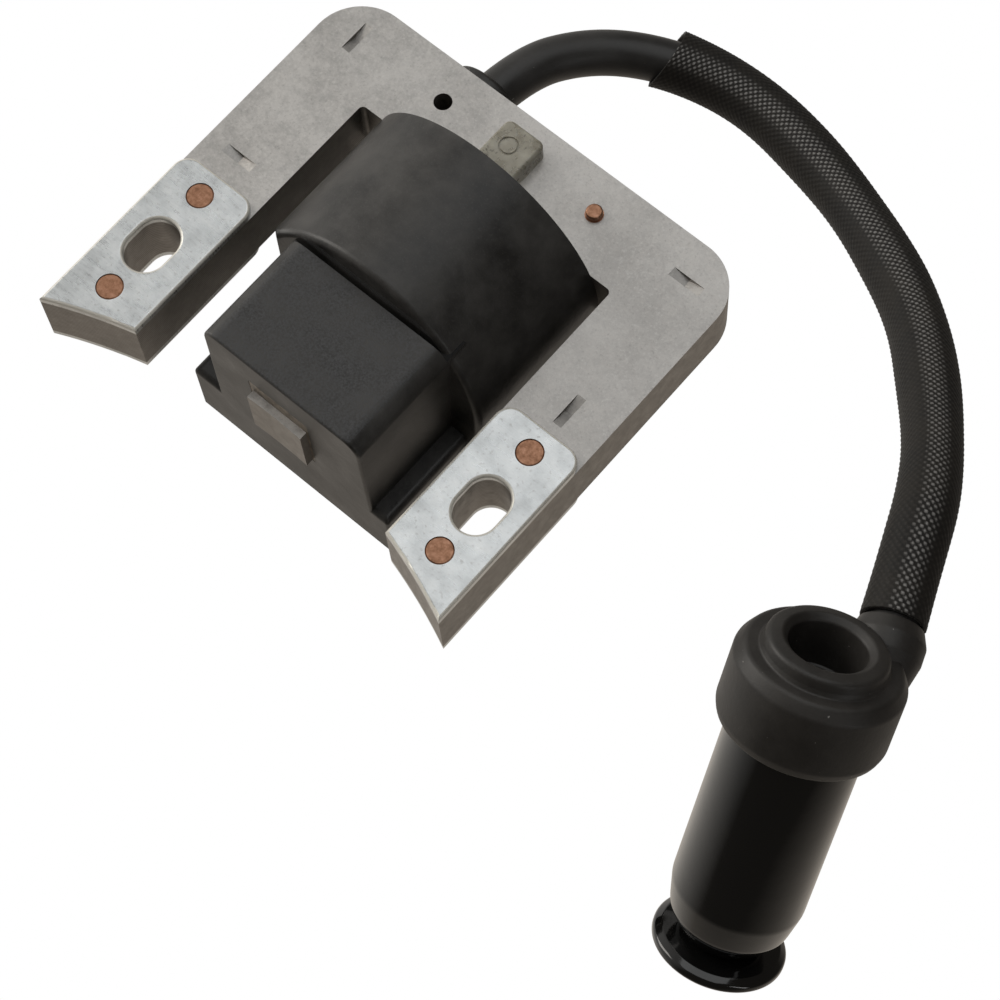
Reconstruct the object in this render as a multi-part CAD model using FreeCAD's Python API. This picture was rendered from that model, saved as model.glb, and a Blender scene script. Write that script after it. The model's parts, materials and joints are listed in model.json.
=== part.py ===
import FreeCAD, Part
import math
import os

# Ignition coil of a small petrol engine. Millimetres, +Z up, floor at z = 0.
# X runs across the core's legs, -Y points at the flywheel, the lead leaves at +Y.

Vec = FreeCAD.Vector
axisX = Vec(1, 0, 0)
axisY = Vec(0, 1, 0)
axisZ = Vec(0, 0, 1)

# laminated core
core_width = 75.0
core_bottom = 13.9
core_thick = 9.4
core_top = core_bottom + core_thick
bar_back = 33.4
bar_depth = 14.1
bar_front = bar_back - bar_depth
leg_width = 14.0
leg_tip = -33.4
flywheel_radius = 91.0
corner_radius = 8.0
pole_width = 10.0
pole_mid_z = core_bottom + core_thick / 2
lance_length = 5.4
lance_width = 1.5
lance_depth = 0.9

# cover plates on the outer legs
plate_thick = 1.3
plate_back = -2.9
plate_corner = 2.7
plate_edge_round = 0.5
slot_x = 31.0
slot_y = -17.1
slot_width = 6.6
slot_length = 9.0
rivet_radius = 2.05
rivet_ys = (-7.0, -25.7)
bar_hole_radius = 1.4
bar_hole = (-14.8, 27.1)
bar_rivet = (13.8, 27.1)

# coil case
case_front = -24.2
case_wall = 1.8
foot_half = 18.8
foot_height = 11.4
box_x = 1.1             # the box stands a little to the right of the centre leg
box_top_half = 14.4
box_foot_half = 14.8
box_base = 2.0
box_top = 32.5
box_back = -5.9
box_top_round = 2.8
front_round = 0.5
groove_depth = 2.0      # between the box and the dome
pad_front = -14.3       # a shallow pad on the box's left wall
pad_out = 0.55
pad_top = 28.5
dome_radius = 21.0
dome_z = 15.8
dome_lean = 5.4
dome_face_y = -4.7
dome_round = 1.0
cheek_side = Vec(-22.0, -1.5, 0)     # a slanted cut at the dome's left front, in plan
cheek_front = Vec(-13.0, -9.0, 0)
window_gap = 0.45
window_above = 2.8
seal_depth = 1.8
potting_level = 1.0

# windings, all round the centre leg
charge_start = -21.5
charge_end = -5.0
secondary_start = -2.2
secondary_end = 17.3
flange = 0.9
section_count = 4
leg_gap = 0.2
tube_wall = 0.8
charge_rim = 9.8
charge_out = 9.0
primary_rim = 7.8
primary_out = 7.6
secondary_hub = 8.0
secondary_wall = 1.0
secondary_rim = 13.4
secondary_out = 12.4

# circuit board and the parts on it
board_half = 15.5
board_front = -22.3
board_back = 12.0
board_bottom = 2.6
board_top = 3.8
capacitor_x = (-9.5, 2.0)
capacitor_y = (-20.0, -11.5)
capacitor_height = 4.2
thyristor_place = (6.5, -16.0)
thyristor_radius = 2.3
thyristor_height = 4.0
part_lift = 0.3
diode_xs = (10.4, 13.6)
diode_y = -20.0
resistor_xs = (5.0, 8.0, 11.0)
resistor_y = -11.6
trigger_place = Vec(-13.2, -20.5, 6.4)
trigger_length = 9.0
trigger_radius = 2.4
trigger_core_radius = 0.8
strap_half = 1.5
strap_thick = 0.4
blade_x = (6.0, 10.8)
blade_y = (13.0, 28.0)
blade_z = (4.2, 4.7)
blade_hole = (8.4, 25.2)
blade_hole_radius = 0.8

# lead, sleeve and grommet
lead_radius = 3.5
conductor_radius = 1.0
lead_clearance = 0.1
boss_radius = 4.6
boss_end = 33.3
grommet_radius = 6.2
grommet_start = 33.9
grommet_end = 38.5
sleeve_inner = 3.6
sleeve_outer = 4.4
sleeve_gap = 0.3
lead_points = [
    Vec(-16.1, 30.0, 9.2),
    Vec(-16.1, 43.5, 9.2),
    Vec(-10.2, 54.9, 7.0),
    Vec(0.2, 62.2, 5.0),
    Vec(13.8, 64.7, 4.7),
    Vec(29.1, 61.4, 6.5),
    Vec(42.8, 55.3, 11.0),
    Vec(57.3, 46.1, 17.6),
    Vec(69.0, 33.0, 26.1),
    Vec(77.4, 20.8, 34.4),
]
sleeve_run = 3          # the sleeve starts on the run after this point
sleeve_share = 0.5      # at this share of the run

# plug boot: knob centre, its axis from the knob to the plug hole, and the lead's socket
knob_centre = Vec(91.34, -39.70, 5.52)
boot_axis = Vec(-0.157, 0.577, 0.802).normalize()
socket_mouth = Vec(86.15, 0.35, 38.47)
socket_axis = Vec(0.387, -0.922, 0.0).normalize()
socket_depth = 6.0
socket_tube_radius = 5.5
socket_tube_length = 12.0
socket_bore_radius = 3.55
pin_radius = 1.5
pin_length = 3.2
pin_clearance = 0.05
cup_gap = 0.3
cup_radius = 2.3
cup_length = 4.2
arm_start = 3.4
arm_radius = 0.9
knob_radius = 9.25
barrel_radius = 9.15
barrel_start = 3.0
collar_start = 38.9
collar_end = 50.2
collar_radius = 11.4
lip_end = 52.6
mouth_radius = 5.23
mouth_depth = 7.6
plug_bore_radius = 4.9
plug_bore_floor = 20.0
spigot_radius = 7.4
spigot_end = 40.6
clip_start = 33.0
clip_end = 42.6
clip_radius = 3.4
clip_wall = 0.5


def export(shape, node):
    shape.exportStep("parts/" + node + ".step")
    print("%-20s solids %d  volume %.1f" % (node, len(shape.Solids), shape.Volume))


def block(x0, x1, y0, y1, z0, z1):
    return Part.makeBox(x1 - x0, y1 - y0, z1 - z0, Vec(x0, y0, z0))


def rod(radius, start, direction, length):
    return Part.makeCylinder(radius, length, start, direction)


def prism(points, along):
    wire = Part.makePolygon(points + [points[0]])
    return Part.Face(wire).extrude(along)


def round_vertical(shape, radius, wanted):
    """Round the upright edges whose middle the test picks."""
    edges = []
    for edge in shape.Edges:
        middle = edge.CenterOfMass
        upright = abs(edge.tangentAt(edge.FirstParameter).z) > 0.99
        if upright and wanted(middle):
            edges.append(edge)
    return shape.makeFillet(radius, edges)


def mounting_slot(side, z0, z1):
    """The upright slot in one leg, whose long side runs along Y."""
    x = side * slot_x
    radius = slot_width / 2
    half = slot_length / 2 - radius
    middle = block(x - radius, x + radius, slot_y - half, slot_y + half, z0, z1)
    front = rod(radius, Vec(x, slot_y - half, z0), axisZ, z1 - z0)
    back = rod(radius, Vec(x, slot_y + half, z0), axisZ, z1 - z0)
    return middle.fuse([front, back]).removeSplitter()


def rounded_tube(outer, inner, corner, y0, y1):
    """A square tube round the centre leg, with half sizes and an outer corner radius."""
    tube = block(-outer, outer, y0, y1, pole_mid_z - outer, pole_mid_z + outer)
    long_edges = [e for e in tube.Edges if abs(e.tangentAt(e.FirstParameter).y) > 0.99]
    tube = tube.makeFillet(corner, long_edges)
    hole = block(-inner, inner, y0 - 1, y1 + 1, pole_mid_z - inner, pole_mid_z + inner)
    return tube.cut(hole)


def flywheel(z0, z1):
    """The round space that the flywheel sweeps, which all pole ends follow."""
    half = core_width / 2
    centre_y = leg_tip - math.sqrt(flywheel_radius ** 2 - half ** 2)
    return rod(flywheel_radius, Vec(0, centre_y, z0), axisZ, z1 - z0)


def lance(x, y, along_y):
    """A V-shaped pocket pressed down through the sheets, which locks them together."""
    half = lance_length / 2
    profile = [Vec(-half, 0, core_top), Vec(half, 0, core_top), Vec(0, 0, core_top - lance_depth)]
    wedge = prism(profile, Vec(0, lance_width, 0))
    wedge.translate(Vec(0, -lance_width / 2, 0))
    if along_y:
        wedge.rotate(Vec(0, 0, 0), axisZ, 90)
    wedge.translate(Vec(x, y, 0))
    return wedge


def lamination_stack():
    half = core_width / 2
    inside = half - leg_width
    pole = pole_width / 2
    reach = leg_tip - 1
    plan = [(-half, reach), (-inside, reach), (-inside, bar_front), (-pole, bar_front), (-pole, reach)]
    plan += [(-x, y) for x, y in reversed(plan)]
    plan += [(half, bar_back), (-half, bar_back)]
    outline = [Vec(x, y, core_bottom) for x, y in plan]
    core = prism(outline, Vec(0, 0, core_thick))
    core = round_vertical(core, corner_radius, lambda c: c.y > bar_back - 1)
    core = round_vertical(core, 0.8, lambda c: abs(c.y - bar_front) < 0.1)
    cutters = [flywheel(core_bottom - 1, core_top + 1)]
    for side in (-1, 1):
        cutters.append(mounting_slot(side, core_bottom - 1, core_top + 1))
        for y in rivet_ys:
            cutters.append(rod(rivet_radius, Vec(side * slot_x, y, core_bottom - 1), axisZ, core_thick + 2))
    for x, y in (bar_hole, bar_rivet):
        cutters.append(rod(bar_hole_radius, Vec(x, y, core_bottom - 1), axisZ, core_thick + 2))
    cutters.append(lance(-31.5, 27.2, True))
    cutters.append(lance(-31.4, 1.5, False))
    cutters.append(lance(30.6, 27.2, False))
    cutters.append(lance(30.8, 1.6, True))
    return core.cut(cutters)


def pole_plate(side, upper):
    z0 = core_top if upper else core_bottom - plate_thick
    z1 = z0 + plate_thick
    outside = core_width / 2
    inside = outside - leg_width
    plate = block(inside, outside, leg_tip - 1, plate_back, z0, z1)
    plate = round_vertical(plate, plate_corner, lambda c: c.y > plate_back - 1)
    if side < 0:
        plate = plate.mirror(Vec(0, 0, 0), axisX)
    plate = plate.cut(flywheel(z0 - 1, z1 + 1))
    plate = plate.cut(mounting_slot(side, z0 - 1, z1 + 1))
    outer_z = z1 if upper else z0
    rim = [e for e in plate.Edges if abs(e.BoundBox.ZMin - outer_z) < 0.01 and e.BoundBox.ZLength < 0.01]
    plate = plate.makeFillet(plate_edge_round, rim)
    holes = [rod(rivet_radius, Vec(side * slot_x, y, z0 - 1), axisZ, plate_thick + 2) for y in rivet_ys]
    return plate.cut(holes)


def pole_rivets():
    bottom = core_bottom - plate_thick
    length = core_thick + 2 * plate_thick
    rivets = []
    for side in (-1, 1):
        for y in rivet_ys:
            rivet = rod(rivet_radius, Vec(side * slot_x, y, bottom), axisZ, length)
            ends = [e for e in rivet.Edges if e.BoundBox.ZLength < 0.01]
            rivets.append(rivet.makeChamfer(0.2, ends))
    return Part.makeCompound(rivets)


def back_bar_rivet():
    x, y = bar_rivet
    shank = rod(bar_hole_radius, Vec(x, y, core_bottom), axisZ, core_thick)
    upper_head = rod(1.25, Vec(x, y, core_top), axisZ, 1.0)
    upper_head = upper_head.makeFillet(0.3, [e for e in upper_head.Edges if e.BoundBox.ZMin > core_top + 0.9])
    lower_head = rod(2.1, Vec(x, y, core_bottom - 0.7), axisZ, 0.7)
    return shank.fuse([upper_head, lower_head]).removeSplitter()


def dome_body(radius, face_y, y_back, z_floor):
    """The half-round back of the case: a round roof, upright walls and a leaning front."""
    y_start = face_y - 8
    walls = block(-radius, radius, y_start, y_back, z_floor, dome_z)
    roof = rod(radius, Vec(0, y_start, dome_z), axisY, y_back - y_start)
    body = walls.fuse(roof)
    if dome_z - radius < z_floor:
        body = body.cut(block(-30, 30, y_start - 1, y_back + 1, dome_z - radius - 5, z_floor))
    apex = dome_z + dome_radius
    fall = math.tan(math.radians(dome_lean))
    low_y = face_y - fall * (apex + 10)
    high_y = face_y + fall * 10
    front = [Vec(-30, -60, -10), Vec(-30, low_y, -10), Vec(-30, high_y, apex + 10), Vec(-30, -60, apex + 10)]
    return body.cut(prism(front, Vec(60, 0, 0))).removeSplitter()


def cheek(inset):
    """The space in front of the slanted cut, moved into the dome by the inset."""
    along = (cheek_front - cheek_side).normalize()
    inward = Vec(-along.y, along.x, 0) * inset
    side = cheek_side + inward
    front = cheek_front + inward
    plan = [side, front, Vec(front.x, -40, 0), Vec(-40, -40, 0), Vec(-40, side.y, 0)]
    space = prism(plan, Vec(0, 0, 60))
    space.translate(Vec(0, 0, -5))
    return space


def rounded_dome():
    """The dome's outside, with the rim of its leaning front rounded."""
    dome = dome_body(dome_radius, dome_face_y, bar_front, 0)
    rim = []
    for edge in dome.Edges:
        middle = edge.CenterOfMass
        if middle.y < 0 and edge.BoundBox.ZMax > dome_z and edge.BoundBox.YLength < 6:
            rim.append(edge)
    return dome.makeFillet(dome_round, rim).cut(cheek(0))


def box_body(inset, y0, y1):
    """The tall box over the front of the centre leg, very slightly drafted."""
    top = box_top - inset
    low = box_foot_half - inset
    high = box_top_half - inset
    profile = [Vec(box_x - low, y0, box_base), Vec(box_x + low, y0, box_base)]
    profile += [Vec(box_x + high, y0, top), Vec(box_x - high, y0, top)]
    return prism(profile, Vec(0, y1 - y0, 0))


def rounded_box():
    """The box's outside: rounded top sides, a softened front rim, a groove at its back and a side pad."""
    box = box_body(0, case_front, -2.0)
    top_sides = [e for e in box.Edges if e.BoundBox.ZMin > box_top - 0.1 and e.BoundBox.YLength > 5]
    box = box.makeFillet(box_top_round, top_sides)
    front_rim = []
    for edge in box.Edges:
        bounds = edge.BoundBox
        if bounds.YMax < case_front + 0.01 and bounds.ZMax > box_base + 0.1:
            front_rim.append(edge)
    box = box.makeFillet(front_round, front_rim)
    box = box.cut(block(-30, 30, box_back, 0, box_top - groove_depth, box_top + 1))
    pad_x = box_x - box_top_half
    pad = block(pad_x - pad_out, pad_x + 1, pad_front, box_back + 1, foot_height - 1, pad_top)
    return box.fuse(pad)


def rounded_foot():
    foot = block(-foot_half, foot_half, case_front, -4.0, 0, foot_height)
    foot = round_vertical(foot, front_round, lambda c: c.y < case_front + 1)
    foot_top = [e for e in foot.Edges if e.BoundBox.ZMin > foot_height - 0.1 and e.BoundBox.YLength > 5]
    return foot.makeFillet(1.0, foot_top)


def case_outside():
    outside = rounded_box().fuse([rounded_foot(), rounded_dome()])
    lead_start = lead_points[0]
    boss_start = Vec(lead_start.x, bar_front - case_wall, lead_start.z)
    boss = rod(boss_radius, boss_start, axisY, boss_end - boss_start.y)
    return outside.fuse(boss).removeSplitter()


def case_inside():
    """The cavity that holds the coils, open at the underside."""
    half = foot_half - case_wall
    front = case_front + case_wall
    foot = block(-half, half, front, 0, -1, foot_height - case_wall)
    box = box_body(case_wall, front, 0)
    box = box.cut(block(-30, 30, box_back - case_wall, 1, box_top - groove_depth - case_wall, box_top))
    dome = dome_body(dome_radius - case_wall, dome_face_y + case_wall, bar_front - case_wall, -1)
    dome = dome.cut(cheek(case_wall))
    return foot.fuse([box, dome]).removeSplitter()


def pole_passage():
    """The square hole for the centre leg, wider in the front wall where epoxy seals it."""
    half = pole_width / 2
    front = block(-half - window_gap, half + window_gap, case_front - 1, case_front + seal_depth + 0.1,
                  core_bottom - window_gap, core_top + window_above)
    back = block(-half - 0.1, half + 0.1, 0, bar_front + 1, core_bottom - 0.1, core_top + 0.1)
    return front.fuse(back)


def tower_hole():
    """The stepped hole through the boss, for the lead and the pin it is pushed on."""
    start = lead_points[0]
    lead_hole = rod(lead_radius + lead_clearance, start, axisY, 10)
    pin_hole = rod(conductor_radius, Vec(start.x, bar_front - case_wall - 1, start.z), axisY,
                   start.y - bar_front + case_wall + 1)
    return lead_hole.fuse(pin_hole)


def coil_case():
    shell = case_outside().cut(case_inside())
    return shell.cut([pole_passage(), tower_hole(), stop_terminal_shape()])


def pole_seal():
    """Epoxy in the front window, round the end of the centre leg."""
    half = pole_width / 2
    plug = block(-half - window_gap, half + window_gap, case_front + 0.05, case_front + seal_depth,
                 core_bottom - window_gap, core_top + window_above)
    leg = block(-half, half, case_front - 1, case_front + seal_depth + 1, core_bottom, core_top)
    return plug.cut(leg)


def locking_tab():
    """The nylon wedge that holds the case against the core's back bar."""
    tab = block(-4.6, 2.4, bar_front, 30.1, core_top, core_top + 3.0)
    tab = round_vertical(tab, 1.2, lambda c: c.y > 29)
    upper = [e for e in tab.Edges if e.BoundBox.ZMin > core_top + 2.9 and e.BoundBox.YMin > bar_front + 0.1]
    tab = tab.makeFillet(0.6, upper)
    ring = rod(1.5, Vec(-1.6, 26.5, core_top + 2.8), axisZ, 1)
    core = rod(1.2, Vec(-1.6, 26.5, core_top + 2.8), axisZ, 1)
    return tab.cut(ring.cut(core))


def spool(inner, wall, rim, corner, stations):
    """A square bobbin round the leg: thin flanges at the given stations, on a tube that joins them."""
    body = rounded_tube(inner + wall, inner, 1.0, stations[0], stations[-1] + flange)
    for y in stations:
        body = body.fuse(rounded_tube(rim, inner, corner, y, y + flange))
    return body.removeSplitter()


def secondary_stations():
    pitch = (secondary_end - secondary_start - flange) / section_count
    return [secondary_start + i * pitch for i in range(section_count + 1)]


def secondary_winding():
    stations = secondary_stations()
    sections = []
    for i in range(section_count):
        inner = secondary_hub + secondary_wall
        sections.append(rounded_tube(secondary_out, inner, 6.0, stations[i] + flange, stations[i + 1]))
    return Part.makeCompound(sections)


def circuit_board():
    board = block(-board_half, board_half, board_front, board_back, board_bottom, board_top)
    return round_vertical(board, 1.0, lambda c: True)


def storage_capacitor():
    body = block(*capacitor_x, *capacitor_y, board_top, board_top + capacitor_height)
    long_edges = [e for e in body.Edges if abs(e.tangentAt(e.FirstParameter).x) > 0.99]
    return body.makeFillet(0.8, long_edges)


def thyristor():
    """A round body with one flat side."""
    x, y = thyristor_place
    body = rod(thyristor_radius, Vec(x, y, board_top), axisZ, thyristor_height)
    flat = thyristor_radius / 2
    return body.cut(block(x - 4, x + 4, y + flat, y + 4, board_top - 1, board_top + thyristor_height + 1))


def axial_parts(radius, length, xs, y):
    """Small round parts that stand just clear of the board, side by side."""
    z = board_top + part_lift + radius
    return Part.makeCompound([rod(radius, Vec(x, y, z), axisY, length) for x in xs])


def trigger_coil():
    outer = rod(trigger_radius, trigger_place, axisY, trigger_length)
    return outer.cut(rod(trigger_core_radius, trigger_place - axisY, axisY, trigger_length + 2))


def trigger_core():
    reach = 0.7
    return rod(trigger_core_radius, trigger_place - axisY * reach, axisY, trigger_length + 2 * reach)


def ground_strap():
    back = charge_start - 0.3
    return block(-strap_half, strap_half, back - strap_thick, back, board_top, core_bottom)


def stop_terminal_shape():
    """The blade for the stop-switch wire, under the back bar."""
    blade = block(*blade_x, *blade_y, *blade_z)
    blade = round_vertical(blade, 1.0, lambda c: c.y > blade_y[1] - 1)
    x, y = blade_hole
    return blade.cut(rod(blade_hole_radius, Vec(x, y, blade_z[0] - 1), axisZ, 3))


def tower_pin():
    start = lead_points[0]
    return rod(conductor_radius, Vec(start.x, bar_front - case_wall - 1, start.z), axisY,
               start.y - bar_front + case_wall + 1)


def full_route():
    """The lead's points, ending in the boot's socket along the socket's axis."""
    return lead_points + [socket_mouth - socket_axis * 9.0, socket_mouth + socket_axis * socket_depth]


def corner_radii(points):
    """Each corner's radius: 0.45 of its shorter run, over the tangent of half the turn."""
    radii = [0.0]
    for before, point, after in zip(points, points[1:], points[2:]):
        first = point - before
        second = after - point
        turn = first.getAngle(second)
        radii.append(0.45 * min(first.Length, second.Length) / math.tan(turn / 2))
    return radii + [0.0]


def rounded_wire(points, radii):
    """Straight runs joined by tangent arcs."""
    edges = []
    start = points[0]
    for i in range(1, len(points) - 1):
        back = (points[i - 1] - points[i]).normalize()
        ahead = (points[i + 1] - points[i]).normalize()
        turn = math.pi - back.getAngle(ahead)
        cut = radii[i] * math.tan(turn / 2)
        enter = points[i] + back * cut
        leave = points[i] + ahead * cut
        inward = (back + ahead).normalize()
        middle = points[i] + inward * (radii[i] / math.cos(turn / 2) - radii[i])
        edges.append(Part.LineSegment(start, enter).toShape())
        edges.append(Part.Arc(enter, middle, leave).toShape())
        start = leave
    edges.append(Part.LineSegment(start, points[-1]).toShape())
    return Part.Wire(edges)


def tube_along(wire, radius):
    edge = wire.Edges[0]
    start = edge.valueAt(edge.FirstParameter)
    ring = Part.Wire(Part.makeCircle(radius, start, edge.tangentAt(edge.FirstParameter)))
    return wire.makePipeShell([ring], True, True)


def hollow_tube(wire, outer, inner, name):
    tube = tube_along(wire, outer).cut(tube_along(wire, inner))
    expected = math.pi * (outer ** 2 - inner ** 2) * wire.Length
    text = "%s: length %.1f, volume %.1f, section times length %.1f"
    print(text % (name, wire.Length, tube.Volume, expected))
    return tube


def lead_wire():
    points = full_route()
    radii = corner_radii(points)
    print("lead corner radii", [round(r, 1) for r in radii[1:-1]])
    return rounded_wire(points, radii)


def sleeve_wire():
    """The part of the lead's path that the braid covers, up to the boot."""
    points = full_route()
    radii = corner_radii(points)
    run = points[sleeve_run + 1] - points[sleeve_run]
    start = points[sleeve_run] + run * sleeve_share
    end = socket_mouth - socket_axis * sleeve_gap
    return rounded_wire([start] + points[sleeve_run + 1:-1] + [end], radii[sleeve_run:])


def lead_grommet():
    """The rubber ring where the lead leaves: a neck on the boss and a flange behind the core."""
    start = lead_points[0]
    ring_start = Vec(start.x, grommet_start, start.z)
    flange_ring = rod(grommet_radius, ring_start, axisY, grommet_end - grommet_start)
    outer_edges = [e for e in flange_ring.Edges if e.BoundBox.YLength < 0.01]
    flange_ring = flange_ring.makeFillet(0.8, outer_edges)
    neck = rod(boss_radius, Vec(start.x, boss_end, start.z), axisY, grommet_start - boss_end)
    ring = flange_ring.fuse(neck).removeSplitter()
    return ring.cut(rod(lead_radius + lead_clearance, Vec(start.x, boss_end - 1, start.z), axisY, 10))


def lead_end_pin():
    """The metal pin on the conductor's end, in line with the boot's socket."""
    end = socket_mouth + socket_axis * socket_depth
    pin = rod(pin_radius, end, socket_axis, pin_length)
    tip = [e for e in pin.Edges if (e.CenterOfMass - end).dot(socket_axis) > pin_length - 0.1]
    return pin.makeChamfer(0.4, tip)


# Boot pieces are turned about their own Z axis, with the knob's face at zero, then placed.

def place_boot(shape):
    turn = FreeCAD.Rotation(axisZ, boot_axis)
    shape = shape.copy()
    shape.Placement = FreeCAD.Placement(knob_centre, turn).multiply(shape.Placement)
    return shape


def turned(edges):
    """A solid of revolution from profile edges in the XZ plane, closed by the maker."""
    face = Part.Face(Part.Wire(edges))
    return face.revolve(Vec(0, 0, 0), axisZ, 360)


def lines(points):
    corners = [Vec(x, 0, z) for x, z in points]
    return [Part.makeLine(a, b) for a, b in zip(corners, corners[1:])]


def arc(start, middle, end):
    ends = [Vec(x, 0, z) for x, z in (start, middle, end)]
    return [Part.Arc(ends[0], ends[1], ends[2]).toShape()]


def handle_knob():
    dish = arc((0, 1.2), (4.4, 0.85), (8.4, 0.0))
    rim = arc((8.4, 0.0), (knob_radius, 0.95), (8.5, 2.0))
    back = lines([(8.5, 2.0), (4.6, 2.7), (3.6, 3.4), (3.0, 4.2), (3.0, 11.5), (0, 11.5), (0, 1.2)])
    return place_boot(turned(dish + rim + back))


def pull_handle():
    nose = lines([(3.0, 4.2), (3.6, 3.4), (5.4, barrel_start)])
    nose += arc((5.4, barrel_start), (8.35, 6.4), (barrel_radius, 11.0))
    side = lines([(barrel_radius, 11.0), (barrel_radius, collar_start), (spigot_radius, collar_start)])
    side += lines([(spigot_radius, collar_start), (spigot_radius, spigot_end)])
    side += lines([(spigot_radius, spigot_end), (plug_bore_radius, spigot_end)])
    bore = lines([(plug_bore_radius, spigot_end), (plug_bore_radius, plug_bore_floor), (0, plug_bore_floor)])
    socket = lines([(0, plug_bore_floor), (0, 11.5), (3.0, 11.5), (3.0, 4.2)])
    return place_boot(turned(nose + side + bore + socket))


def boot_collar():
    """The rubber body: a ring on the handle's spigot, a raised lip, and the lug that takes the lead."""
    inner = lines([(plug_bore_radius, spigot_end), (spigot_radius, spigot_end)])
    inner += lines([(spigot_radius, spigot_end), (spigot_radius, collar_start)])
    outer = lines([(spigot_radius, collar_start), (10.6, collar_start), (collar_radius, collar_start + 0.8)])
    outer += lines([(collar_radius, collar_start + 0.8), (collar_radius, collar_end - 1.6)])
    outer += lines([(collar_radius, collar_end - 1.6), (10.0, collar_end)])
    lip = lines([(10.0, collar_end), (8.4, collar_end), (7.9, lip_end - 0.6)])
    lip += arc((7.9, lip_end - 0.6), (6.8, lip_end), (5.9, lip_end - 0.3))
    ledge = lip_end - mouth_depth
    mouth = lines([(5.9, lip_end - 0.3), (mouth_radius, lip_end - 1.0), (mouth_radius, ledge)])
    floor = lines([(mouth_radius, ledge), (plug_bore_radius, ledge), (plug_bore_radius, spigot_end)])
    collar = place_boot(turned(inner + outer + lip + mouth + floor))
    tube = rod(socket_tube_radius, socket_mouth, socket_axis, socket_tube_length)
    low = 20.0
    spigot_length = spigot_end - collar_start
    keep_out = place_boot(rod(spigot_radius, Vec(0, 0, collar_start - low), axisZ, low + spigot_length))
    bore = place_boot(rod(mouth_radius, Vec(0, 0, collar_start), axisZ, 30))
    below = place_boot(rod(30, Vec(0, 0, collar_start - 30), axisZ, 30))
    tube = tube.cut([keep_out, bore, below])
    tube = max(tube.Solids, key=lambda s: s.Volume)
    collar = collar.fuse(tube).removeSplitter()
    lead_hole = rod(socket_bore_radius, socket_mouth - socket_axis, socket_axis, socket_depth + 1 + cup_gap)
    collar = collar.cut([lead_hole, boot_terminal_blank()])
    return max(collar.Solids, key=lambda s: s.Volume)


def terminal_start():
    return socket_mouth + socket_axis * (socket_depth + cup_gap)


def boot_terminal_blank():
    """The outer shape of the metal piece that joins the lead's pin to the plug clip."""
    cup = rod(cup_radius, terminal_start(), socket_axis, cup_length)
    end = terminal_start() + socket_axis * arm_start
    clip_side = place_boot(Part.Vertex(Vec(0, 0, clip_end - 1.2))).Point
    reach = clip_side - end
    arm = rod(arm_radius, end, reach, reach.Length)
    hole = place_boot(rod(clip_radius + clip_wall, Vec(0, 0, clip_start - 5), axisZ, 30))
    return cup.fuse(arm.cut(hole)).removeSplitter()


def boot_terminal():
    pin_hole = rod(pin_radius + pin_clearance, terminal_start() - socket_axis, socket_axis, pin_length + 1)
    return boot_terminal_blank().cut(pin_hole)


def plug_clip():
    """A slit spring sleeve that snaps over the spark plug's terminal."""
    height = clip_end - clip_start
    outer = rod(clip_radius + clip_wall, Vec(0, 0, clip_start), axisZ, height)
    inner = rod(clip_radius, Vec(0, 0, clip_start - 1), axisZ, height + 2)
    slit = block(-8, 0, -0.8, 0.8, clip_start - 1, clip_end + 1)
    return place_boot(outer.cut([inner, slit]))


def clip_seat():
    """The ring that holds the clip in the middle of the handle's bore."""
    outer = rod(plug_bore_radius, Vec(0, 0, clip_start), axisZ, 3.0)
    return place_boot(outer.cut(rod(clip_radius + clip_wall, Vec(0, 0, clip_start - 1), axisZ, 5.0)))


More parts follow.
